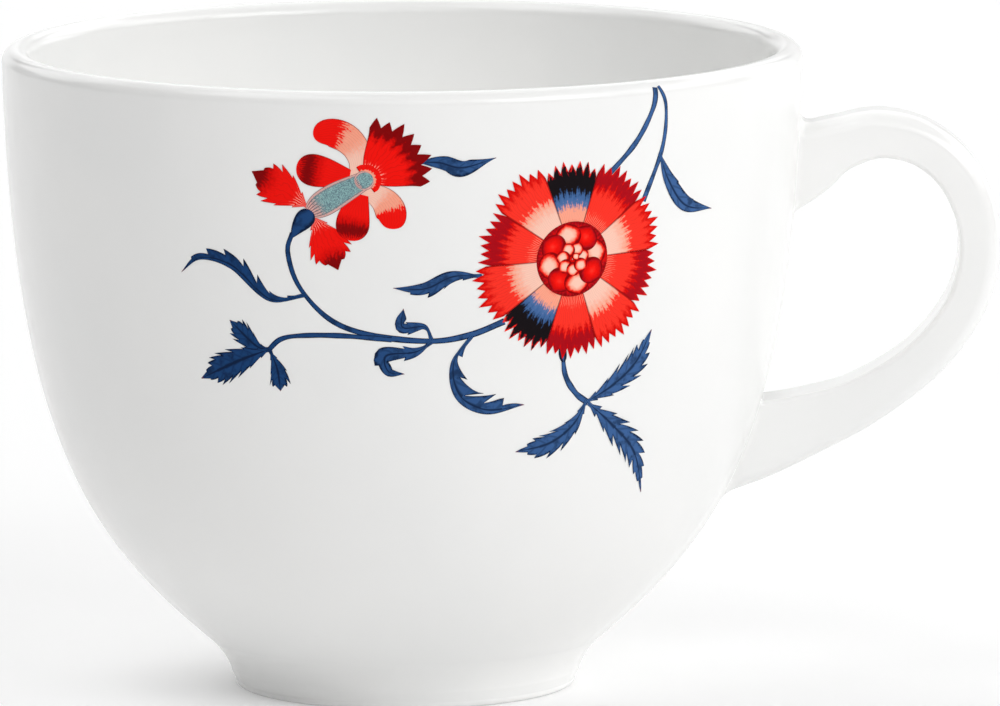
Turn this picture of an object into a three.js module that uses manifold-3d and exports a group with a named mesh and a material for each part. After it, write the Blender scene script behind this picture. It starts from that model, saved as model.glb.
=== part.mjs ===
import * as THREE from 'three';
import { mergeVertices } from 'three/addons/utils/BufferGeometryUtils.js';
import Module from 'manifold-3d';

// A porcelain teacup with a loop handle, in millimetres with +Z up. The cup stands on z = 0, and the
// handle reaches towards +X. Turned pieces are drawn as (radius, height) profiles about the cup's axis.

// Driving dimensions
const RIM_RADIUS = 45;
const CUP_HEIGHT = 72.6;
const LIP_RADIUS = 1.5; // the lip is a half round, so the wall there is twice this thick
const FOOT_RADIUS = 20.3; // outside of the foot, where the bowl meets it
const FOOT_HEIGHT = 4;
const HANDLE_REACH = 22.2; // how far the handle stands out past the rim
const HANDLE_WIDTH = 8; // across the loop, along Y
const JOINT_GAP = 0.3; // layer of slip between two pieces
const LATHE_SEGMENTS = 72;
const WALL_STEPS = 16;
const LIP_STEPS = 6;

// The frame's origin is the middle of the whole footprint, so the cup's axis lies to one side of it.
const CUP_AXIS_X = -HANDLE_REACH / 2;

// Bowl: a cubic curve outside from foot to lip, and another inside from lip to the floor's middle.
const LIP_CENTRE_HEIGHT = CUP_HEIGHT - LIP_RADIUS;
const FLOOR_HEIGHT = 8.2;
const UNDERSIDE_HEIGHT = FOOT_HEIGHT + 0.8; // the underside domes up a little inside the foot
const OUTER_WALL = new THREE.CubicBezierCurve(
  new THREE.Vector2(FOOT_RADIUS, FOOT_HEIGHT),
  new THREE.Vector2(0.771 * RIM_RADIUS, 0.22 * CUP_HEIGHT),
  new THREE.Vector2(0.978 * RIM_RADIUS, 0.358 * CUP_HEIGHT),
  new THREE.Vector2(RIM_RADIUS, LIP_CENTRE_HEIGHT),
);
const INNER_WALL = new THREE.CubicBezierCurve(
  new THREE.Vector2(RIM_RADIUS - 2 * LIP_RADIUS, LIP_CENTRE_HEIGHT),
  new THREE.Vector2(0.902 * RIM_RADIUS, 0.33 * CUP_HEIGHT),
  new THREE.Vector2(0.6 * RIM_RADIUS, FLOOR_HEIGHT),
  new THREE.Vector2(0, FLOOR_HEIGHT),
);

// Foot ring: its side draws in towards the ground, and both lower edges are rounded.
const FOOT_TOP = FOOT_HEIGHT - JOINT_GAP;
const FOOT_BASE_RADIUS = 19.2;
const FOOT_WALL = 4.2;
const FOOT_EDGE_RADIUS = 0.8;

// Handle: stations along the middle of the loop, from the upper joint out and round to the lower one.
// Each gives the distance from the cup's axis, the height, and the thickness in the loop's plane.
// The first and the last lie inside the bowl's wall.
const HANDLE_STATIONS = [
  [40, 57.6, 12.6],
  [45.3, 59.6, 8.6],
  [49.1, 61.5, 5.8],
  [53.7, 62.5, 5.2],
  [58.8, 61.2, 5],
  [62.9, 57.2, 4.9],
  [64.9, 50.6, 4.7],
  [63.5, 43.5, 4.7],
  [58.7, 37, 4.9],
  [51.8, 32.2, 5.7],
  [45.4, 29.6, 7.2],
  [39.6, 27.8, 9],
  [33, 26.2, 10.5],
];
const HANDLE_STEPS = 54;
const HANDLE_SIDES = 16;
// Squareness of the section: 1 gives an oval, and lower values square it up.
const OUTER_SQUARENESS = 0.62; // the half on the loop's outside, with round edges
const INNER_SQUARENESS = 0.45; // the half on the loop's inside, with crisper edges

const wasm = await Module();
wasm.setup();

function glaze() {
  return new THREE.MeshStandardMaterial({ color: 0xf4f3f0, roughness: 0.12, metalness: 0 });
}

// A quarter turn stands the lathe's own axis up along Z.
function turned(profile) {
  return new THREE.LatheGeometry(profile, LATHE_SEGMENTS).rotateX(Math.PI / 2);
}

function arc(centreX, centreY, radius, fromAngle, toAngle, steps) {
  const curve = new THREE.EllipseCurve(centreX, centreY, radius, radius, fromAngle, toAngle, toAngle < fromAngle);
  return curve.getPoints(steps);
}

function bowlGeometry() {
  const lip = arc(RIM_RADIUS - LIP_RADIUS, LIP_CENTRE_HEIGHT, LIP_RADIUS, 0, Math.PI, LIP_STEPS);
  return turned([
    new THREE.Vector2(0, UNDERSIDE_HEIGHT),
    new THREE.Vector2(0.5 * FOOT_RADIUS, UNDERSIDE_HEIGHT - 0.2),
    new THREE.Vector2(FOOT_RADIUS - FOOT_WALL, FOOT_HEIGHT),
    ...OUTER_WALL.getPoints(WALL_STEPS),
    ...lip.slice(1, -1),
    ...INNER_WALL.getPoints(WALL_STEPS),
  ]);
}

function footGeometry() {
  const outerEdge = arc(
    FOOT_BASE_RADIUS - FOOT_EDGE_RADIUS, FOOT_EDGE_RADIUS, FOOT_EDGE_RADIUS, -Math.PI / 2, 0, 5);
  const innerEdge = arc(
    FOOT_BASE_RADIUS - FOOT_WALL + FOOT_EDGE_RADIUS, FOOT_EDGE_RADIUS, FOOT_EDGE_RADIUS, Math.PI, 1.5 * Math.PI, 5);
  return turned([
    ...outerEdge,
    new THREE.Vector2(FOOT_RADIUS, FOOT_TOP),
    new THREE.Vector2(FOOT_RADIUS - FOOT_WALL, FOOT_TOP),
    ...innerEdge,
    outerEdge[0],
  ]);
}

// The bowl's outside grown by the joint's gap, and filled in to the axis.
function bowlCutterGeometry() {
  const side = [];
  for (let i = 0; i <= WALL_STEPS; i++) {
    const point = OUTER_WALL.getPoint(i / WALL_STEPS);
    const tangent = OUTER_WALL.getTangent(i / WALL_STEPS);
    side.push(new THREE.Vector2(point.x + JOINT_GAP * tangent.y, point.y - JOINT_GAP * tangent.x));
  }
  return turned([
    new THREE.Vector2(0, side[0].y),
    ...side,
    new THREE.Vector2(0, side.at(-1).y),
  ]);
}

// A rounded-square value between -1 and 1 for the cosine or sine of an angle.
function squared(value, squareness) {
  return Math.sign(value) * Math.abs(value) ** squareness;
}

// The loop before it is cut: rounded sections along a smooth curve in the XZ plane, with both ends closed.
function loopGeometry() {
  // The stations' thickness rides along as the curve's Y, so one curve gives both.
  const curve = new THREE.CatmullRomCurve3(
    HANDLE_STATIONS.map(([reach, height, thickness]) => new THREE.Vector3(reach, thickness, height)));
  const positions = [];
  const index = [];
  for (let i = 0; i <= HANDLE_STEPS; i++) {
    const station = curve.getPointAt(i / HANDLE_STEPS);
    const tangent = curve.getTangentAt(i / HANDLE_STEPS).setY(0).normalize();
    for (let j = 0; j < HANDLE_SIDES; j++) {
      const angle = (2 * Math.PI * j) / HANDLE_SIDES;
      const squareness = Math.cos(angle) > 0 ? OUTER_SQUARENESS : INNER_SQUARENESS;
      const out = 0.5 * station.y * squared(Math.cos(angle), squareness);
      const across = 0.5 * HANDLE_WIDTH * squared(Math.sin(angle), squareness);
      positions.push(station.x - out * tangent.z, across, station.z + out * tangent.x);
    }
  }
  for (let i = 0; i < HANDLE_STEPS; i++) {
    for (let j = 0; j < HANDLE_SIDES; j++) {
      const here = i * HANDLE_SIDES + j;
      const beside = i * HANDLE_SIDES + ((j + 1) % HANDLE_SIDES);
      index.push(here, here + HANDLE_SIDES, beside, beside, here + HANDLE_SIDES, beside + HANDLE_SIDES);
    }
  }
  const last = HANDLE_STEPS * HANDLE_SIDES;
  for (let j = 1; j < HANDLE_SIDES - 1; j++) {
    index.push(0, j, j + 1);
    index.push(last, last + j + 1, last + j);
  }
  const geometry = new THREE.BufferGeometry();
  geometry.setAttribute('position', new THREE.Float32BufferAttribute(positions, 3));
  geometry.setIndex(index);
  return geometry;
}

function toSolid(geometry) {
  geometry.deleteAttribute('normal');
  geometry.deleteAttribute('uv');
  const merged = mergeVertices(geometry, 1e-4);
  return new wasm.Manifold(new wasm.Mesh({
    numProp: 3,
    vertProperties: new Float32Array(merged.attributes.position.array),
    triVerts: new Uint32Array(merged.index.array),
  }));
}

function toGeometry(solid) {
  const mesh = solid.getMesh();
  const geometry = new THREE.BufferGeometry();
  geometry.setAttribute('position', new THREE.BufferAttribute(mesh.vertProperties, 3));
  geometry.setIndex(new THREE.BufferAttribute(mesh.triVerts, 1));
  geometry.computeVertexNormals();
  return geometry;
}

function handleGeometry() {
  return toGeometry(toSolid(loopGeometry()).subtract(toSolid(bowlCutterGeometry())));
}

function piece(name, geometry) {
  const mesh = new THREE.Mesh(geometry, glaze());
  mesh.name = name;
  return mesh;
}

const teacup = new THREE.Group();
teacup.position.x = CUP_AXIS_X;
teacup.add(piece('cup_body', bowlGeometry()));
teacup.add(piece('foot_ring', footGeometry()));
teacup.add(piece('handle', handleGeometry()));

export default teacup;
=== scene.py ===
"""A porcelain teacup with a printed flower spray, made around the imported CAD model.

Shapes are worked out in millimetres about the bowl's own axis, which is parallel to Z.
"""
import math

import bpy
import numpy as np
from mathutils import Matrix, Vector


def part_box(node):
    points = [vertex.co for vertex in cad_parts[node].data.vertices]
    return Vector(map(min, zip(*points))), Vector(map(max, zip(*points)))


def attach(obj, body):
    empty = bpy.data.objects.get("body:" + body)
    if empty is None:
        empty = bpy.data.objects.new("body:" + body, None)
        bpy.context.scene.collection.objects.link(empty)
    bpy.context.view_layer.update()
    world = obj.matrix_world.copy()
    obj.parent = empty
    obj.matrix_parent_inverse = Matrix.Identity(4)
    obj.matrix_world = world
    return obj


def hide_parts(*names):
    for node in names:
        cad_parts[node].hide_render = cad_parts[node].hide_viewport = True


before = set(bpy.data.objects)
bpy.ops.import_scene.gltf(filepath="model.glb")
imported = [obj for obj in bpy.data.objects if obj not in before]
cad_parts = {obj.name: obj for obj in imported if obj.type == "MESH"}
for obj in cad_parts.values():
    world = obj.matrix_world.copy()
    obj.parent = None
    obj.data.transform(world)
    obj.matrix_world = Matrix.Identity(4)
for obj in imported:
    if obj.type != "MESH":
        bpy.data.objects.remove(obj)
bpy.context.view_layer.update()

MM = 0.001

# Driving dimensions in millimetres. The outer ones are taken from the frame.
BOWL_LOW, BOWL_HIGH = (np.array(corner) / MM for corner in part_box("cup_body"))
FOOT_LOW, FOOT_HIGH = (np.array(corner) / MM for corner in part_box("foot_ring"))
HANDLE_LOW, HANDLE_HIGH = (np.array(corner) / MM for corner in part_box("handle"))
AXIS_X = (BOWL_LOW[0] + BOWL_HIGH[0]) / 2
RIM_RADIUS = (BOWL_HIGH[0] - BOWL_LOW[0]) / 2
CUP_HEIGHT = BOWL_HIGH[2]
FOOT_RADIUS = (FOOT_HIGH[0] - FOOT_LOW[0]) / 2
FOOT_HEIGHT = BOWL_LOW[2]
HANDLE_WIDTH = HANDLE_HIGH[1] - HANDLE_LOW[1]
HANDLE_REACH = HANDLE_HIGH[0] - AXIS_X

LIP_RADIUS = 1.5
FLOOR_HEIGHT = 8.2
FOOT_WALL = 4.2
FOOT_BASE_RADIUS = FOOT_RADIUS - 1.1
FOOT_EDGE_RADIUS = 0.7
AXIS_GAP = 0.02  # turned surfaces stop this far short of the axis

TURN_SEGMENTS = 256


# ---------------------------------------------------------------- curves

def bezier(points, t):
    """Points of a cubic curve at the parameters t."""
    a, b, c, d = (np.array(p, float) for p in points)
    t = np.atleast_1d(np.asarray(t, float))[:, None]
    return (1 - t) ** 3 * a + 3 * t * (1 - t) ** 2 * b + 3 * t ** 2 * (1 - t) * c + t ** 3 * d


def arc(centre, radius, start, end, count):
    angle = np.radians(np.linspace(start, end, count))
    return np.column_stack([centre[0] + radius * np.cos(angle), centre[1] + radius * np.sin(angle)])


def lengths_along(points):
    return np.concatenate([[0], np.cumsum(np.linalg.norm(np.diff(points, axis=0), axis=1))])


def resample(points, where):
    """Points of a polyline at the given lengths along it."""
    along = lengths_along(points)
    return np.column_stack([np.interp(where, along, column) for column in points.T])


def smooth_curve(stations, count):
    """A Catmull-Rom curve through the stations, sampled evenly along its length."""
    points = np.array(stations, float)
    padded = np.vstack([2 * points[0] - points[1], points, 2 * points[-1] - points[-2]])
    samples = []
    for p0, p1, p2, p3 in zip(padded, padded[1:], padded[2:], padded[3:]):
        for t in np.linspace(0, 1, 24, endpoint=False):
            samples.append(0.5 * (2 * p1 + (p2 - p0) * t + (2 * p0 - 5 * p1 + 4 * p2 - p3) * t ** 2
                                  + (3 * p1 - p0 - 3 * p2 + p3) * t ** 3))
    samples = np.array(samples + [points[-1]])
    return resample(samples, np.linspace(0, lengths_along(samples)[-1], count))


def unit(vectors):
    return vectors / np.linalg.norm(vectors, axis=-1, keepdims=True)


# ---------------------------------------------------------------- meshes

def grid_faces(rows, columns, wrap=False):
    """Quads of a grid whose vertices are stored row by row."""
    faces = []
    for i in range(rows - 1):
        for j in range(columns if wrap else columns - 1):
            k = (j + 1) % columns
            faces.append((i * columns + j, i * columns + k, (i + 1) * columns + k, (i + 1) * columns + j))
    return faces


def make_object(name, vertices, faces, normals, material, uvs=None):
    """A smooth mesh object that rides on the root body. The vertices are about the bowl's axis."""
    mesh = bpy.data.meshes.new(name)
    placed = (np.asarray(vertices, float) + [AXIS_X, 0, 0]) * MM
    mesh.from_pydata(placed.tolist(), [], faces)
    mesh.polygons.foreach_set("use_smooth", [True] * len(mesh.polygons))
    if uvs is not None:
        layer = mesh.uv_layers.new(name="UVMap")
        corners = np.zeros(len(mesh.loops), int)
        mesh.loops.foreach_get("vertex_index", corners)
        layer.data.foreach_set("uv", np.asarray(uvs, float)[corners].ravel())
    mesh.normals_split_custom_set_from_vertices(np.asarray(normals, float).tolist())
    mesh.materials.append(material)
    obj = bpy.data.objects.new(name, mesh)
    bpy.context.scene.collection.objects.link(obj)
    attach(obj, "root")
    return obj


def turned(name, curves, material, closed=False):
    """A turned piece from curves of (radius, height) points, up the outside and down the inside.

    The surface is smooth along each curve, and creased where one curve hands over to the next.
    """
    curves = [np.asarray(curve, float) for curve in curves]
    tangent = np.concatenate([np.gradient(curve, axis=0) for curve in curves])
    profile = np.concatenate(curves)
    if closed:
        profile = np.concatenate([profile, profile[:1]])
        tangent = np.concatenate([tangent, tangent[:1]])
    angle = np.linspace(0, 2 * np.pi, TURN_SEGMENTS, endpoint=False)
    ring = np.column_stack([np.cos(angle), np.sin(angle), np.zeros_like(angle)])
    vertices = np.concatenate([ring * radius + [0, 0, height] for radius, height in profile])
    normals = unit(np.concatenate([ring * tz + [0, 0, -tr] for tr, tz in tangent]))
    faces = grid_faces(len(profile), TURN_SEGMENTS, wrap=True)
    return make_object(name, vertices, faces, normals, material)


# ---------------------------------------------------------------- porcelain

# The wall's two curves: outside from foot to lip, and inside from lip to the floor's middle.
WALL_STEPS = np.linspace(0, 1, 140)
OUTER_WALL = bezier([
    (FOOT_RADIUS, FOOT_HEIGHT),
    (0.771 * RIM_RADIUS, 0.22 * CUP_HEIGHT),
    (0.978 * RIM_RADIUS, 0.358 * CUP_HEIGHT),
    (RIM_RADIUS, CUP_HEIGHT - LIP_RADIUS),
], WALL_STEPS)
INNER_WALL = bezier([
    (RIM_RADIUS - 2 * LIP_RADIUS, CUP_HEIGHT - LIP_RADIUS),
    (0.902 * RIM_RADIUS, 0.33 * CUP_HEIGHT),
    (0.6 * RIM_RADIUS, FLOOR_HEIGHT),
    (AXIS_GAP, FLOOR_HEIGHT),
], WALL_STEPS)
LIP = arc((RIM_RADIUS - LIP_RADIUS, CUP_HEIGHT - LIP_RADIUS), LIP_RADIUS, 0, 180, 25)

# The outside up to the lip's upper part, for finding the surface at a height.
OUTSIDE = np.vstack([OUTER_WALL, LIP[1:11]])
OUTSIDE_SLOPE = np.gradient(OUTSIDE[:, 0]) / np.gradient(OUTSIDE[:, 1])


def wall_radius(height):
    """Outside radius of the bowl at a height."""
    return np.interp(height, OUTSIDE[:, 1], OUTSIDE[:, 0])


def wall_normals(points):
    """Outward normals of the bowl's outside at points that lie on it."""
    slope = np.interp(points[..., 2], OUTSIDE[:, 1], OUTSIDE_SLOPE)
    return unit(np.concatenate([unit(points[..., :2]), -slope[..., None]], axis=-1))


def bowl(material):
    # The underside domes up a little inside the foot.
    underside = [
        (AXIS_GAP, FOOT_HEIGHT + 0.8),
        (6, FOOT_HEIGHT + 0.72),
        (12, FOOT_HEIGHT + 0.45),
        (FOOT_RADIUS - FOOT_WALL, FOOT_HEIGHT),
        (FOOT_RADIUS - 1, FOOT_HEIGHT - 0.05),
    ]
    wall = np.vstack([OUTER_WALL, LIP[1:-1], INNER_WALL])
    piece = turned("bowl", [underside, wall], material)
    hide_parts("cup_body")


def foot(material):
    """The foot ring, with the glaze drawn into a soft fillet where it meets the bowl."""
    # The fillet starts on the foot's side, and lands on the bowl along the bowl's own slope.
    landing = OUTER_WALL[6]
    slope = unit(OUTER_WALL[7] - landing)
    side = np.array([FOOT_RADIUS - 0.62, 0.45 * FOOT_HEIGHT])
    fillet = [side, side + [0.25, 1.2], landing - 1.4 * slope, landing]
    outer_edge = (FOOT_BASE_RADIUS - FOOT_EDGE_RADIUS, FOOT_EDGE_RADIUS)
    outside = np.vstack([
        arc(outer_edge, FOOT_EDGE_RADIUS, -90, 8, 14),
        bezier(fillet, np.linspace(0, 1, 16)),
    ])
    inner_top = np.array([FOOT_RADIUS - FOOT_WALL, FOOT_HEIGHT])
    inner_fillet = inner_top + np.array([(-1.4, 0.1), (-0.5, 0), (0, -0.5), (-0.2, -1.6)])
    inner_edge = (FOOT_BASE_RADIUS - FOOT_WALL + FOOT_EDGE_RADIUS, FOOT_EDGE_RADIUS)
    inside = np.vstack([
        bezier(inner_fillet, np.linspace(0, 1, 10)),
        arc(inner_edge, FOOT_EDGE_RADIUS, 180, 270, 12),
    ])
    # A hidden step back from the fillet's thin edge, so that the crease lies inside the bowl.
    hidden = [landing + [-1.2, 0.2], inner_top + [0.5, 0.3]]
    piece = turned("foot", [outside, hidden, inside], material, closed=True)
    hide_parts("foot_ring")


# Stations along the middle of the handle's loop: distance from the bowl's axis, height, thickness.
# The first and the last lie inside the bowl's wall.
HANDLE_STATIONS = [
    (41, 58, 10.4),
    (45.3, 59.6, 8.4),
    (49.1, 61.4, 6),
    (53.7, 62.5, 5.3),
    (58.8, 61.2, 5),
    (62.9, 57.2, 4.9),
    (HANDLE_REACH - 2.35, 50.6, 4.7),
    (63.5, 43.5, 4.7),
    (58.7, 37, 4.9),
    (51.8, 32.2, 5.7),
    (45.4, 29.6, 7.2),
    (39.6, 27.8, 9),
    (33, 26.2, 10.4),
]
UPPER_JOINT_HEIGHT = 59.3
LOWER_JOINT_HEIGHT = 27.6

OUTER_ROUND = (1.7, 2.4)  # radii of the section's outer corners, along its thickness and its width
INNER_ROUND = (0.55, 0.7)  # and of its inner corners
SECTION_CROWN = 0.03  # how much narrower the section is at its outer and inner faces, as a share
INNER_FILLET = 0.35  # reach of the joints' fillets on the loop's inside
OUTER_FILLET = 1.35  # and on its outside


def face_and_corner(deep, wide, count):
    """Half of a section's outer or inner face and its corner, as (depth below the face, across) points."""
    half_width = 0.5 * HANDLE_WIDTH
    face = [(0, across) for across in np.linspace(0, half_width - wide, count)[:-1]]
    quarter = np.radians(np.linspace(0, 90, 12))
    corner = [(deep * (1 - math.cos(a)), half_width - wide * (1 - math.sin(a))) for a in quarter]
    return np.array(face + corner)


def section_points(thickness):
    """The whole outline of one section, as (out, across) points."""
    outer = face_and_corner(*OUTER_ROUND, 4) * [-1, 1] + [0.5 * thickness, 0]
    inner = face_and_corner(*INNER_ROUND, 6) - [0.5 * thickness, 0]
    flat = np.linspace(outer[-1], inner[-1], 8)[1:-1]
    half = np.vstack([outer, flat, inner[::-1]])
    half[:, 1] *= 1 - SECTION_CROWN * (half[:, 0] / (0.5 * thickness)) ** 2
    return np.vstack([half, half[-2:0:-1] * [1, -1]])


def handle_tube(steps):
    """The loop's skin before it is joined, as an array of sections by points round each section."""
    path = smooth_curve(HANDLE_STATIONS, steps)
    tangent = unit(np.gradient(path[:, :2], axis=0))
    sections = []
    for (reach, height, thickness), (along_x, along_z) in zip(path, tangent):
        out, across = section_points(thickness).T
        sections.append(np.column_stack([reach - out * along_z, across, height + out * along_x]))
    return np.array(sections)


def handle_line(line, outness):
    """One lengthwise line of the handle's skin, ending in a fillet tangent to the bowl at each joint.

    The fillet is widest on the loop's outside, where outness is 1, and tight on its inside.
    """
    clear = np.flatnonzero(np.hypot(line[:, 0], line[:, 1]) > wall_radius(line[:, 2]))
    reach = INNER_FILLET + (OUTER_FILLET - INNER_FILLET) * 0.5 * (1 + outness)
    along = lengths_along(line)
    first, last = along[clear[0]], along[clear[-1]]
    body = resample(line, np.linspace(first + reach, last - reach, 150))
    ends = []
    for corner, near in ((line[clear[0]], body[0]), (line[clear[-1]], body[-1])):
        normal = wall_normals(corner[None])[0]
        away = corner - joint_middle(corner)
        away = unit(away - normal * (away @ normal))
        target = corner + away * reach
        target[:2] *= (wall_radius(target[2]) - 0.02) / np.hypot(*target[:2])
        pull = 0.62 * reach
        leaving = near + pull * unit(corner - near)
        landing = target - pull * unit(target - corner)
        ends.append(bezier([near, leaving, landing, target], np.linspace(0, 1, 12)))
    return np.vstack([ends[0][::-1], body[1:-1], ends[1]])


def joint_middle(corner):
    """The middle of the upper or lower joint, on the bowl's surface, for a point on its edge."""
    is_upper = corner[2] > (UPPER_JOINT_HEIGHT + LOWER_JOINT_HEIGHT) / 2
    height = UPPER_JOINT_HEIGHT if is_upper else LOWER_JOINT_HEIGHT
    return np.array([wall_radius(height), 0, height])


def handle(material):
    tube = handle_tube(420)
    sides = tube.shape[1]
    outness = section_points(2.0)[:, 0]
    skin = np.stack([handle_line(tube[:, j], outness[j]) for j in range(sides)], axis=1)
    along = np.gradient(skin, axis=0)
    around = np.roll(skin, -1, axis=1) - np.roll(skin, 1, axis=1)
    normals = unit(np.cross(along, around))
    middle = len(skin) // 2
    outward = skin[middle] - skin[middle].mean(axis=0)
    normals *= np.sign(np.sum(normals[middle] * outward, axis=-1).mean())
    for end in (0, -1):
        normals[end] = wall_normals(skin[end])
    # Each end closes inside the bowl's wall.
    inside = [skin[end].mean(axis=0) + 0.9 * (skin[end] - skin[end].mean(axis=0))
              - 1.2 * wall_normals(skin[end]) for end in (0, -1)]
    skin = np.concatenate([inside[0][None], skin, inside[1][None]])
    normals = np.concatenate([normals[:1], normals, normals[-1:]])
    rows = len(skin)
    faces = [face[::-1] for face in grid_faces(rows, sides, wrap=True)]
    faces.append(tuple(range(sides)))
    faces.append(tuple(reversed(range((rows - 1) * sides, rows * sides))))
    piece = make_object("loop_handle", skin.reshape(-1, 3), faces, normals.reshape(-1, 3), material)
    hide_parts("handle")


# ---------------------------------------------------------------- print: shapes
# The print is laid out on the unrolled bowl: distance round the bowl from its front, and height.

UNROLL_RADIUS = 43.0  # turns distance round the bowl into an angle
LEAF_STALK = 0.24  # half width of a leaf's stalk


def on_bowl(layout, lift):
    """Points on the bowl's outside for layout points of (distance round, height), and their normals."""
    angle = layout[..., 0] / UNROLL_RADIUS
    height = layout[..., 1]
    radius = wall_radius(height)
    points = np.stack([radius * np.sin(angle), -radius * np.cos(angle), height], axis=-1)
    normals = wall_normals(points)
    return points + lift * normals, normals


def print_patch(name, layout, uv, lift, material):
    """A thin printed patch from a grid of layout points and their UVs."""
    rows, columns = layout.shape[:2]
    points, normals = on_bowl(layout, lift)
    faces = grid_faces(rows, columns)
    here = layout[rows // 2, columns // 2]
    beside = layout[rows // 2, columns // 2 + 1]
    ahead = layout[rows // 2 + 1, columns // 2]
    if np.cross(beside - here, ahead - here) < 0:
        faces = [face[::-1] for face in faces]
    make_object(name, points.reshape(-1, 3), faces, normals.reshape(-1, 3), material,
                uv.reshape(-1, 2))


def patch_uv(across, along):
    """UVs of a grid: U across it and V along it, both from 0 to 1."""
    return np.stack(np.broadcast_arrays(across[None, :], along[:, None]), axis=-1)


def about_path(path, along, half, across, sweep=0.0):
    """A grid that follows a path: along it by the shares in along, and to its left and right by half.

    half is the pair of half widths. sweep bends the grid's rows forward on both sides, as veins lean.
    """
    fine = smooth_curve(path, 200)
    share = np.linspace(0, 1, 200)
    middle = resample(fine, along * lengths_along(fine)[-1])
    heading = unit(np.gradient(fine, axis=0))
    tangent = unit(np.column_stack([np.interp(along, share, axis) for axis in heading.T]))
    left = np.column_stack([-tangent[:, 1], tangent[:, 0]])
    aside = np.where(across > 0, half[0][:, None], half[1][:, None]) * across
    forward = sweep * aside ** 2
    layout = middle[:, None] + aside[..., None] * left[:, None] + forward[..., None] * tangent[:, None]
    return layout, patch_uv(0.5 + 0.5 * across, along)


def leaf(path, width, peak, teeth, depth, sides=(1, 1), lean=1.0):
    """A leaf about a midrib: widest at the share peak of its length, with teeth that lean forward.

    The depth of the teeth is a share of the half width, and so is lean, how far forward the edge is bent.
    sides scales the left and the right half, and a half that is scaled down keeps a smooth edge.
    """
    along = np.linspace(0, 1, max(30, 12 * teeth + 1))
    arch = np.abs(np.sin(np.pi * along ** (math.log(0.5) / math.log(peak))))
    swell = 0.5 * width * (arch ** 1.25 + 0.03)
    uneven = 1 + 0.22 * np.sin(2.4 * np.floor(along * teeth))
    notch = depth * uneven * (1 - (along * teeth) % 1)
    stalk = LEAF_STALK * (1 - along) ** 2
    half = [np.maximum(side * swell * (1 - notch * (side >= 1)), stalk) for side in sides]
    return about_path(path, along, half, np.linspace(-1, 1, 9), lean / (0.5 * width * max(sides) ** 2))


def petal(path, width, claw=0.2):
    """A petal that swells from its claw, a share of its width, to a round end."""
    along = np.sin(np.linspace(0, np.pi / 2, 26))
    half = 0.62 * width * (claw + (1 - claw) * np.sin(0.5 * np.pi * along)) * np.sqrt(1 - along ** 5) + 0.01
    return about_path(path, along, (half, half), np.linspace(-1, 1, 11))


def oval(path, width):
    """An oval about a path, from end to end of it."""
    along = 0.5 - 0.5 * np.cos(np.linspace(0, np.pi, 26))
    half = 0.5 * width * np.sqrt(np.clip(1 - (2 * along - 1) ** 2, 0, 1)) + 0.01
    return about_path(path, along, (half, half), np.linspace(-1, 1, 11))


def stem(path, start_width, end_width):
    """A drawn line of changing width, a little uneven as a brush leaves it."""
    along = np.linspace(0, 1, 60)
    half = 0.5 * (start_width + (end_width - start_width) * along)
    half *= 1 + 0.12 * np.sin(19 * along) * np.sin(7 * along)
    return about_path(path, along, (half, half), np.linspace(-1, 1, 5))


def fan(centre, inner, outer, start, end, teeth, depth, bulge=0.05, flare=0.0):
    """A fan-shaped petal between two radii and two angles, with pointed teeth along its outer edge.

    flare is how many degrees each side opens out at the base, which rounds the fan's sides.
    """
    across = np.linspace(0, 1, 8 * teeth + 1)
    along = np.linspace(0, 1, 14)
    opened = flare * (1 - along[:, None]) ** 2 * (2 * across - 1)
    angle = np.radians(start + (end - start) * across + opened)
    saw = 1 - np.abs(2 * ((across * teeth) % 1) - 1)
    uneven = 1 + 0.25 * np.sin(2.1 * np.floor(0.999 * across * teeth) + start)
    curve = 1 + bulge * (1 - (2 * across - 1) ** 2)
    rim = outer * curve - depth * (1 - saw * uneven)
    radius = inner + (rim - inner) * along[:, None]
    layout = np.stack([centre[0] + radius * np.cos(angle), centre[1] + radius * np.sin(angle)], axis=-1)
    return layout, patch_uv(across, along)


def disc(centre, radius):
    """A round patch: U runs round it and V from its middle out."""
    across = np.linspace(0, 1, 49)
    along = np.linspace(0.02, 1, 8)
    angle = 2 * np.pi * across
    layout = np.stack([centre[0] + radius * along[:, None] * np.cos(angle),
                       centre[1] + radius * along[:, None] * np.sin(angle)], axis=-1)
    return layout, patch_uv(across, along)


# ---------------------------------------------------------------- print: materials

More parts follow.
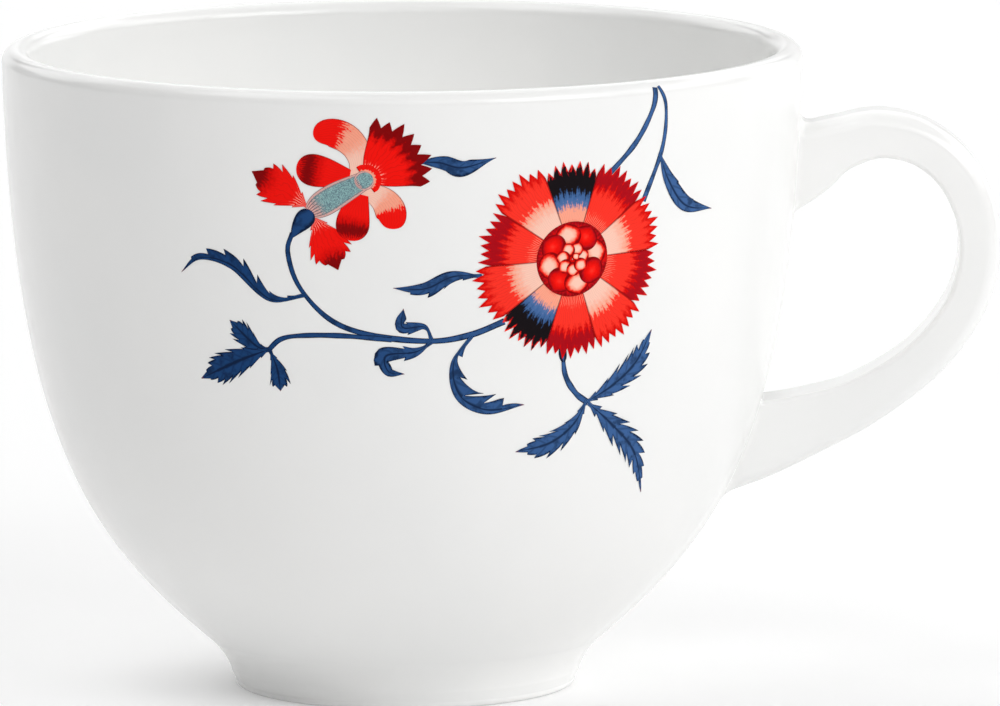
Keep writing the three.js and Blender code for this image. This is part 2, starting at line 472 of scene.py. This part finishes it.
class Graph:
    """Short calls for building one material's node tree."""

    def __init__(self, name):
        self.material = bpy.data.materials.new(name)
        self.material.use_nodes = True
        self.nodes = self.material.node_tree.nodes
        self.links = self.material.node_tree.links
        self.shader = self.nodes["Principled BSDF"]

    def put(self, socket, value):
        """Sets a socket to a constant, or links it to another node's output."""
        if isinstance(value, bpy.types.NodeSocket):
            self.links.new(value, socket)
        else:
            socket.default_value = value

    def math(self, operation, a, b=0.0, c=0.0):
        node = self.nodes.new("ShaderNodeMath")
        node.operation = operation
        for socket, value in zip(node.inputs, (a, b, c)):
            self.put(socket, value)
        return node.outputs[0]

    def smooth(self, value, low, high):
        """0 below low, 1 above high, with a soft step between."""
        node = self.nodes.new("ShaderNodeMapRange")
        node.interpolation_type = "SMOOTHSTEP"
        self.put(node.inputs["Value"], value)
        node.inputs["From Min"].default_value = low
        node.inputs["From Max"].default_value = high
        return node.outputs["Result"]

    def mix(self, factor, a, b):
        node = self.nodes.new("ShaderNodeMix")
        node.data_type = "RGBA"
        self.put(node.inputs["Factor"], factor)
        self.put(node.inputs["A"], a)
        self.put(node.inputs["B"], b)
        return node.outputs["Result"]

    def ramp(self, value, stops):
        node = self.nodes.new("ShaderNodeValToRGB")
        elements = node.color_ramp.elements
        elements.remove(elements[1])
        elements[0].position, elements[0].color = stops[0]
        for position, colour in stops[1:]:
            elements.new(position).color = colour
        self.put(node.inputs["Fac"], value)
        return node.outputs["Color"]

    def uv(self):
        """U runs across a printed shape, and V along it."""
        node = self.nodes.new("ShaderNodeUVMap")
        node.uv_map = "UVMap"
        split = self.nodes.new("ShaderNodeSeparateXYZ")
        self.links.new(node.outputs["UV"], split.inputs[0])
        return split.outputs["X"], split.outputs["Y"]

    def place(self):
        return self.nodes.new("ShaderNodeTexCoord").outputs["Object"]

    def sideways(self, place):
        """How far a place lies towards the handle, in metres."""
        split = self.nodes.new("ShaderNodeSeparateXYZ")
        self.links.new(place, split.inputs[0])
        return split.outputs["X"]

    def flipped(self, value):
        return self.math("SUBTRACT", 1.0, value)

    def grown(self, value, factor):
        return self.math("MULTIPLY", value, factor)

    def off_middle(self, u):
        """0 on the middle line of a shape, and 1 on its sides."""
        return self.grown(self.math("ABSOLUTE", self.math("SUBTRACT", u, 0.5)), 2.0)

    def noise(self, vector, scale, detail=2.0):
        node = self.nodes.new("ShaderNodeTexNoise")
        self.links.new(vector, node.inputs["Vector"])
        node.inputs["Scale"].default_value = scale
        node.inputs["Detail"].default_value = detail
        return node.outputs["Fac"]

    def bump(self, height, strength, distance):
        node = self.nodes.new("ShaderNodeBump")
        node.inputs["Strength"].default_value = strength
        node.inputs["Distance"].default_value = distance
        self.links.new(height, node.inputs["Height"])
        self.links.new(node.outputs["Normal"], self.shader.inputs["Normal"])


def srgb(red, green, blue):
    """A linear colour from 0 to 255 display values."""
    values = np.array([red, green, blue]) / 255
    linear = np.where(values <= 0.04045, values / 12.92, ((values + 0.055) / 1.055) ** 2.4)
    return (*linear.tolist(), 1.0)


ENAMEL_SPECULAR = 0.05  # enamel is less shiny than the glaze

# Enamel colours, in linear light
SCARLET = (0.96, 0.006, 0.003, 1)
BRIGHT_RED = (1.0, 0.035, 0.02, 1)
RED = (0.72, 0.002, 0.001, 1)
CRIMSON = (0.42, 0.002, 0.008, 1)
DARK_RED = (0.24, 0.0, 0.001, 1)
PINK = (1.0, 0.38, 0.26, 1)
PALE_PINK = (1.0, 0.60, 0.48, 1)
SHELL_PINK = srgb(226, 176, 168)
MAUVE = srgb(120, 84, 92)
SLATE = srgb(82, 116, 168)
BLUE = srgb(62, 99, 153)
NAVY = srgb(26, 66, 118)
DEEP_BLUE = srgb(6, 20, 44)
BLACK = srgb(20, 14, 18)
TEAL = srgb(150, 190, 190)
SMOKE = srgb(98, 124, 134)
OCHRE = srgb(140, 52, 34)


def glaze_material():
    """White glaze: faint warm and cool clouds, gentle unevenness in gloss, and a trace of orange peel."""
    g = Graph("porcelain_glaze")
    place = g.place()
    clouds = g.smooth(g.noise(place, 45), 0.35, 0.65)
    g.put(g.shader.inputs["Base Color"], g.mix(clouds, (0.905, 0.907, 0.898, 1), (0.925, 0.924, 0.913, 1)))
    gloss = g.noise(place, 160, 3)
    g.put(g.shader.inputs["Roughness"], g.math("MULTIPLY_ADD", gloss, 0.06, 0.15))
    g.bump(g.noise(place, 260, 1), 0.04, 0.0002)
    return g.material


def finish_enamel(g, place, height):
    """Fired enamel lies on the glaze: a little uneven in gloss, and raised where it was laid thicker."""
    g.put(g.shader.inputs["Roughness"], g.math("MULTIPLY_ADD", g.noise(place, 900, 2), 0.1, 0.1))
    g.shader.inputs["Specular IOR Level"].default_value = ENAMEL_SPECULAR
    g.bump(height, 0.12, 0.00003)
    return g.material


def petal_material(name, stops, strokes=15, comb=0.08, rays=None, outline=DARK_RED):
    """Petal enamel: the ramp's tones run from base to tip, and meet in comb-like engraved strokes.

    comb is how far the strokes reach past where two tones meet, and rays is a pale colour drawn in
    short strokes at the petal's base.
    """
    g = Graph(name)
    place = g.place()
    u, v = g.uv()
    drift = g.grown(g.noise(place, 700, 2), 2.6)
    stroke = g.math("PINGPONG", g.math("MULTIPLY_ADD", u, strokes, drift), 0.5)
    speck = g.math("SUBTRACT", g.noise(place, 3200, 2), 0.5)
    tone = g.math("MULTIPLY_ADD", g.math("SUBTRACT", stroke, 0.25), 2 * comb, v)
    tone = g.math("MULTIPLY_ADD", speck, 0.2, tone)
    colour = g.ramp(tone, stops)
    line = g.flipped(g.smooth(stroke, 0.02, 0.14))
    colour = g.mix(g.grown(line, 0.16), colour, outline)
    if rays:
        near_base = g.flipped(g.smooth(tone, 0.18, 0.3))
        ray = g.math("MULTIPLY", g.smooth(stroke, 0.3, 0.4), near_base)
        colour = g.mix(g.grown(ray, 0.6), colour, rays)
    colour = g.mix(g.grown(g.smooth(g.off_middle(u), 0.93, 0.985), 0.75), colour, outline)
    g.put(g.shader.inputs["Base Color"], colour)
    return finish_enamel(g, place, stroke)


def bead_material(name, stops):
    """Enamel of a small round petal: the ramp's tones run out from a highlight near its middle."""
    g = Graph(name)
    place = g.place()
    u, v = g.uv()
    aside = g.off_middle(u)
    ahead = g.grown(g.math("SUBTRACT", v, 0.56), 2.1)
    reach = g.math("SQRT", g.math("ADD", g.math("MULTIPLY", aside, aside), g.math("MULTIPLY", ahead, ahead)))
    speck = g.math("MULTIPLY_ADD", g.noise(place, 3200, 2), 0.3, -0.15)
    g.put(g.shader.inputs["Base Color"], g.ramp(g.math("ADD", reach, speck), stops))
    return finish_enamel(g, place, speck)


def calyx_material(name):
    """Calyx enamel: grey-green stipple inside a pinkish rim, with drawn lines at its lower end."""
    g = Graph(name)
    place = g.place()
    u, v = g.uv()
    stipple = g.noise(place, 8500, 2)
    body = g.mix(g.smooth(stipple, 0.36, 0.62), SMOKE, TEAL)
    lines = g.math("PINGPONG", g.grown(u, 8.0), 0.5)
    rim = g.mix(g.smooth(lines, 0.08, 0.24), MAUVE, SHELL_PINK)
    speck = g.math("MULTIPLY_ADD", stipple, 0.5, -0.25)
    at_end = g.smooth(g.math("ADD", v, speck), 0.74, 0.88)
    at_side = g.smooth(g.math("ADD", g.off_middle(u), speck), 0.68, 0.88)
    g.put(g.shader.inputs["Base Color"], g.mix(g.math("MAXIMUM", at_end, at_side), body, rim))
    return finish_enamel(g, place, stipple)


def leaf_material(name, deep=DEEP_BLUE, veins=True, outline=0.66):
    """Leaf enamel: a blue wash, lighter towards the handle as painted sheen, with a dark ragged outline.

    outline is where the outline starts, as a share of the way from the midrib to the edge. With veins
    there are a dark midrib, slanting side veins and a red-brown tip too.
    """
    g = Graph(name)
    place = g.place()
    u, v = g.uv()
    across = g.off_middle(u)
    wash = g.noise(place, 800, 3)
    # Painted sheen: the blue turns lighter towards the handle, the side the light comes from.
    blue_with_painted_sheen = g.mix(g.smooth(g.sideways(place), -0.03, 0.018), NAVY, BLUE)
    ragged = g.math("MULTIPLY_ADD", g.math("SUBTRACT", g.noise(place, 1800, 1), 0.5), 0.6, across)
    rim = g.grown(g.smooth(ragged, outline, outline + 0.32), 0.9)
    dark = g.math("MAXIMUM", g.grown(g.smooth(wash, 0.48, 0.68), 0.6), rim)
    if veins:
        rib = g.flipped(g.smooth(across, 0.04, 0.22))
        slant = g.math("FRACT", g.math("MULTIPLY_ADD", v, 7.0, g.grown(across, -0.5)))
        vein = g.flipped(g.smooth(g.math("ABSOLUTE", g.math("SUBTRACT", slant, 0.5)), 0.04, 0.2))
        dark = g.math("MAXIMUM", dark, g.math("MAXIMUM", g.grown(rib, 0.8), g.grown(vein, 0.35)))
    colour = g.mix(dark, blue_with_painted_sheen, deep)
    if veins:
        colour = g.mix(g.grown(g.smooth(v, 0.95, 1.0), 0.7), colour, OCHRE)
    g.put(g.shader.inputs["Base Color"], colour)
    return finish_enamel(g, place, wash)


def print_materials():
    """The print's enamels, each with the slot that it belongs to."""
    return {
        "pink_petal": (petal_material("enamel_pink_petal", [
            (0.0, PALE_PINK), (0.26, PALE_PINK), (0.46, PINK), (0.53, BRIGHT_RED), (0.8, BRIGHT_RED),
            (0.94, RED)]), "enamel_pink"),
        "red_petal": (petal_material("enamel_red_petal", [
            (0.0, RED), (0.1, BRIGHT_RED), (0.56, BRIGHT_RED), (0.66, RED), (0.74, CRIMSON), (0.92, CRIMSON),
            (1.0, RED)], rays=PINK), "enamel_red"),
        "dark_petal": (petal_material("enamel_dark_petal", [
            (0.0, BRIGHT_RED), (0.08, PINK), (0.28, PINK), (0.37, SLATE), (0.52, BLUE), (0.6, BLACK),
            (0.93, BLACK), (0.97, CRIMSON), (1.0, BRIGHT_RED)], outline=BLACK), "enamel_navy"),
        "tip_petal": (petal_material("enamel_tip_petal", [
            (0.0, PALE_PINK), (0.3, PALE_PINK), (0.45, PINK), (0.6, PINK), (0.66, SCARLET), (1.0, SCARLET)],
            strokes=11), "enamel_pink"),
        "full_petal": (petal_material("enamel_full_petal", [
            (0.0, SCARLET), (0.46, SCARLET), (0.6, RED), (0.72, DARK_RED), (0.84, DARK_RED), (0.94, RED),
            (1.0, SCARLET)], strokes=11), "enamel_red"),
        "toothed_petal": (petal_material("enamel_toothed_petal", [
            (0.0, SCARLET), (0.56, SCARLET), (0.7, RED), (0.8, DARK_RED), (1.0, DARK_RED)],
            strokes=7, rays=PALE_PINK), "enamel_red"),
        "fan_petal": (petal_material("enamel_fan_petal", [
            (0.0, SCARLET), (0.6, SCARLET), (0.7, RED), (0.79, DARK_RED), (1.0, DARK_RED)],
            strokes=13, comb=0.05, rays=PALE_PINK), "enamel_red"),
        "heart": (petal_material("enamel_heart", [
            (0.0, RED), (0.84, RED), (0.93, CRIMSON), (1.0, DARK_RED)],
            strokes=60, outline=RED), "enamel_red"),
        "pale_bead": (bead_material("enamel_pale_bead", [
            (0.0, PALE_PINK), (0.36, PALE_PINK), (0.6, PINK), (0.76, BRIGHT_RED), (0.9, RED),
            (1.0, DARK_RED)]), "enamel_pink"),
        "red_bead": (bead_material("enamel_red_bead", [
            (0.0, BRIGHT_RED), (0.3, SCARLET), (0.7, RED), (0.9, CRIMSON), (1.0, DARK_RED)]), "enamel_red"),
        "calyx": (calyx_material("enamel_calyx"), "enamel_blue"),
        "leaf": (leaf_material("enamel_leaf"), "enamel_blue"),
        "plain": (leaf_material("enamel_stem", veins=False, outline=0.5), "enamel_blue"),
        "knob": (leaf_material("enamel_knob", deep=BLACK, veins=False, outline=0.0), "enamel_navy"),
    }


# ---------------------------------------------------------------- print: the spray

PRINT_LIFT = 0.02  # how far the lowest patch lies off the glaze
PATCH_STEP = 0.0011  # and each later one off the one before


class Spray:
    """Lays printed patches on the bowl in the order they are added, each a hair above the one before."""

    def __init__(self):
        self.materials = print_materials()
        self.lift = PRINT_LIFT

    def add(self, name, shape, kind):
        self.lift += PATCH_STEP
        layout, uv = shape
        material, slot = self.materials[kind]
        print_patch(name, layout, uv, self.lift, material)


def rosette(spray, centre, radius, heart):
    """The open flower seen from the front: ten toothed petals round a heart of two rings of small ones."""
    kinds = ["pink_petal", "red_petal", "dark_petal", "pink_petal", "red_petal",
             "pink_petal", "dark_petal", "red_petal", "pink_petal", "red_petal"]
    span = 360 / len(kinds)
    for i, kind in enumerate(kinds):
        start = 2 + i * span
        reach = radius * (1 + 0.03 * math.sin(2.7 * i))
        shape = fan(centre, 0.9 * heart, reach, start, start + span, 7, 1.1)
        spray.add(f"rosette_petal_{i + 1}", shape, kind)
    spray.add("rosette_heart", disc(centre, heart), "heart")
    heart_petals(spray, "outer", centre, heart, ("pale_bead", "red_bead") * 4, (0.3, 0.95), 0.72)
    heart_petals(spray, "inner", centre, heart, ("pale_bead",) * 7, (0.08, 0.46), 0.36)
    spray.add("rosette_eye", oval([centre, centre + [0.16 * heart, 0.12 * heart]], 0.2 * heart), "pale_bead")


def heart_petals(spray, ring, centre, heart, kinds, reach, width):
    """A ring of small round petals, one of each kind in turn. Reach and width are shares of the heart."""
    for i, kind in enumerate(kinds):
        angle = 2 * math.pi * (i + 0.3) / len(kinds)
        direction = heart * np.array([math.cos(angle), math.sin(angle)])
        path = [centre + share * direction for share in (reach[0], sum(reach) / 2, reach[1])]
        spray.add(f"rosette_{ring}_{i + 1}", oval(path, width * heart), kind)


def side_flower(spray, base, top):
    """The flower seen from the side: a stippled calyx with paired petals, and a toothed fan above it.

    Its shapes are laid out as shares of the calyx's length: along it from the base, and aside from it.
    """
    base, top = np.array(base, float), np.array(top, float)
    length = np.linalg.norm(top - base)
    forward = (top - base) / length
    left = np.array([-forward[1], forward[0]])

    def at(along, aside):
        return base + length * along * forward + length * aside * left

    lean = math.degrees(math.atan2(forward[1], forward[0]))
    # For each side: how far its petals droop, and the radius and the last angle of its outer petal's bend.
    for i, (side, droop, curl, turn) in enumerate(((1, -0.5, 0.5, 86), (-1, -0.16, 0.43, 54))):
        pointed = [at(-0.02, 0.1 * side), at(0.45 * droop, 0.54 * side), at(droop, 1.04 * side)]
        shape = leaf(pointed, 0.72 * length, 0.48, 6, 0.26, lean=0.5)
        spray.add(f"toothed_petal_{i + 1}", shape, "toothed_petal")
        outer = [at(along, aside * side) for along, aside in arc((0.66, 0.54), curl, -62, turn, 6)]
        spray.add(f"outer_petal_{i + 1}", petal(outer, 0.46 * length, 0.42), "tip_petal")
        inner = [at(0.82, 0.16 * side), at(0.5, 0.46 * side), at(0.33 + 0.3 * droop, 0.74 * side)]
        spray.add(f"inner_petal_{i + 1}", petal(inner, 0.5 * length, 0.42), "full_petal")
    open_fan = fan(at(1.04, 0), 0.3, 1.02 * length, lean - 40, lean + 55, 8, 1.1, bulge=0.04, flare=30)
    spray.add("fan_petal", open_fan, "fan_petal")
    spray.add("fan_heart", fan(at(1.0, 0), 0.2, 0.26 * length, lean - 85, lean + 90, 5, 0.06), "tip_petal")
    spray.add("calyx", petal([at(1.0, 0), at(0.5, 0.02), at(-0.08, 0)], 0.4 * length, 0.6), "calyx")
    spray.add("calyx_cap", oval([at(1.14, 0), at(0.84, 0)], 0.32 * length), "calyx")
    bulb = [at(-0.52, -0.2), at(-0.3, -0.1), at(0, 0)]
    spray.add("calyx_bulb", petal(bulb, 0.3 * length, 0.12), "plain")


# Stems: name, points, width at the start and at the end.
STEMS = [
    ("stem_main", [(-11.6, 57), (-12.15, 54.8), (-11, 51), (-7.7, 47.4), (-3.2, 45.7), (3.2, 45), (7.6, 45.6),
                   (11.4, 47)], 0.5, 0.75),
    ("stem_left", [(-15, 43.6), (-13.4, 45), (-11, 45.5), (-6.6, 45.6), (-1, 45.2)], 0.55, 0.6),
    ("stem_rim_1", [(29, 71.9), (28.6, 69.6), (26.4, 66), (22.5, 62.2)], 0.65, 0.6),
    ("stem_rim_2", [(29.5, 72), (30.4, 69.6), (30, 65.2), (27.6, 59.4)], 0.4, 0.65),
    ("stem_low", [(18.3, 44), (18.9, 40.6), (20.4, 38.4), (22.2, 37.1)], 0.5, 0.75),
]

# Leaves: name, midrib from base to tip, width, widest place, teeth, tooth depth, left and right share.
LEAVES = [
    ("leaf_far_left", [(-10.3, 50.1), (-14.4, 49.5), (-18.6, 53), (-22.4, 53.7), (-25, 51.9)],
     2.3, 0.5, 8, 0.5, (0.35, 1.3)),
    ("leaf_trio_1", [(-14.8, 43.8), (-16.4, 44.2), (-19.3, 46.9)], 2.7, 0.5, 6, 0.3, (1, 1)),
    ("leaf_trio_2", [(-14.8, 43.8), (-18.4, 42.4), (-23.6, 40)], 3.7, 0.48, 8, 0.3, (1, 1)),
    ("leaf_trio_3", [(-14.7, 43.7), (-14, 41.6), (-13.8, 39.1)], 2.5, 0.55, 5, 0.28, (1, 1)),
    ("leaf_curl_up", [(3.4, 45.1), (2.6, 46.6), (0.2, 46.6), (0.3, 48.7)], 1.6, 0.6, 2, 0.3, (1, 1)),
    ("leaf_curl_down", [(3.4, 44.9), (1.6, 43.8), (-1.6, 43.4), (-1.4, 41.6), (0.4, 41.3)],
     2.2, 0.5, 3, 0.4, (1, 1)),
    ("leaf_middle", [(8.8, 52.2), (5.6, 52.2), (2.6, 50.9), (-0.8, 51)], 1.9, 0.48, 5, 0.35, (1.1, 0.8)),
    ("leaf_hook", [(7.8, 45.5), (5.8, 42.4), (6.6, 38.8), (9.8, 37), (14.2, 37.4)],
     3.4, 0.55, 6, 0.72, (1.4, 0.35)),
    ("leaf_fan", [(2.2, 65), (4.2, 64.9), (6.6, 64.3), (10.2, 65.3)], 1.8, 0.38, 0, 0, (1, 1)),
    ("leaf_right", [(29.6, 64.6), (31, 61.4), (33.6, 58.4), (37.9, 57.6)], 2.1, 0.46, 3, 0.12, (1.2, 0.7)),
    ("leaf_low_1", [(21.9, 37.2), (25.4, 39), (28.2, 41.4), (29.9, 44.8)], 3.5, 0.48, 8, 0.4, (1, 1)),
    ("leaf_low_2", [(22, 37.5), (20.6, 34.8), (17.8, 32.8), (13.6, 32)], 3.1, 0.5, 7, 0.35, (1, 1)),
    ("leaf_low_3", [(22.2, 37.1), (25.8, 34.4), (30, 30.8), (33, 25.8)], 3.5, 0.42, 9, 0.5, (1, 1)),
]


def flower_spray():
    """The whole print: stems, leaves, the side flower and the rosette."""
    spray = Spray()
    for name, path, start, end in STEMS:
        spray.add(name, stem(path, start, end), "plain")
    for name, path, width, peak, teeth, depth, sides in LEAVES:
        spray.add(name, leaf(path, width, peak, teeth, depth, sides), "leaf")
    spray.add("stem_knob", oval([(18.2, 44), (18.6, 42)], 0.95), "knob")
    side_flower(spray, (-9.4, 59.5), (-3.7, 63))
    rosette(spray, np.array([19.0, 53.6]), 10.6, 4.2)


# ---------------------------------------------------------------- stage, light and camera

FLOOR_HALF = 6.0  # metres


def stage_floor():
    """A pale floor that glows a little, so that it stays light in every direction."""
    g = Graph("floor_white")
    g.put(g.shader.inputs["Base Color"], (0.8, 0.8, 0.8, 1))
    g.put(g.shader.inputs["Roughness"], 0.9)
    g.put(g.shader.inputs["Emission Color"], (1, 1, 1, 1))
    g.put(g.shader.inputs["Emission Strength"], 0.16)
    mesh = bpy.data.meshes.new("floor")
    corners = [(FLOOR_HALF * x, FLOOR_HALF * y, 0) for x, y in ((-1, -1), (1, -1), (1, 1), (-1, 1))]
    mesh.from_pydata(corners, [], [(0, 1, 2, 3)])
    mesh.materials.append(g.material)
    floor = bpy.data.objects.new("floor", mesh)
    bpy.context.scene.collection.objects.link(floor)


# Softboxes stand in three tiers round the cup. Each tier: distance, elevation, and each box's width and
# height. Lengths are in metres and angles in degrees.
TIERS = {"low": (1.71, 6, 0.9, 0.44), "mid": (1.4, 30, 0.9, 0.7), "high": (1.3, 60, 0.8, 0.8)}
# Power in watts of each box, by tier and by azimuth clockwise from straight behind the cup.
SOFTBOXES = {
    "low": {-45: 0.5, -15: 1.3, 15: 0.95, 45: 2.5},
    "mid": {-45: 3.5, 0: 2.6, 45: 4.0, 90: 4.3, 135: 8.0, 180: 2.5},
    "high": {-120: 4.4, -60: 2.1, 0: 1.9, 180: 1.0},
}


def softbox(tier, azimuth, power):
    """A white area light that faces the cup."""
    distance, elevation, width, height = TIERS[tier]
    light = bpy.data.lights.new(f"softbox_{tier}_{azimuth}", "AREA")
    light.shape = "RECTANGLE"
    light.size = width
    light.size_y = height
    light.energy = power
    obj = bpy.data.objects.new(light.name, light)
    bpy.context.scene.collection.objects.link(obj)
    around, up = math.radians(azimuth), math.radians(elevation)
    outward = Vector((math.cos(up) * math.sin(around), math.cos(up) * math.cos(around), math.sin(up)))
    obj.location = Vector((0, 0, 0.5 * CUP_HEIGHT * MM)) + distance * outward
    obj.rotation_euler = (-outward).to_track_quat("-Z", "Y").to_euler()
    obj.visible_camera = False


def studio():
    """A high-key set: bright behind and to the right, dimmest at the left."""
    world = bpy.data.worlds.new("studio")
    world.use_nodes = True
    background = world.node_tree.nodes["Background"]
    background.inputs["Color"].default_value = (1, 1, 1, 1)
    background.inputs["Strength"].default_value = 0.01
    bpy.context.scene.world = world
    for tier, boxes in SOFTBOXES.items():
        for azimuth, power in boxes.items():
            softbox(tier, azimuth, power)
    bpy.context.scene.view_settings.view_transform = "Standard"


def camera():
    """Long lens from the front, a little above the rim, at the photograph's angle."""
    aside, distance, height = 10.85, 1470.2, 248.7  # from the foot of the bowl's axis, in millimetres
    pitch, roll = 8.175, -0.2476  # degrees
    data = bpy.data.cameras.new("camera")
    data.lens = 474.2
    data.sensor_width = 36
    data.clip_end = 50
    obj = bpy.data.objects.new("camera", data)
    bpy.context.scene.collection.objects.link(obj)
    turn = Matrix.Rotation(math.radians(90 - pitch), 4, "X") @ Matrix.Rotation(math.radians(roll), 4, "Z")
    obj.matrix_world = Matrix.Translation(((AXIS_X + aside) * MM, -distance * MM, height * MM)) @ turn
    bpy.context.scene.camera = obj


glaze = glaze_material()
bowl(glaze)
foot(glaze)
handle(glaze)
flower_spray()
stage_floor()
studio()
camera()
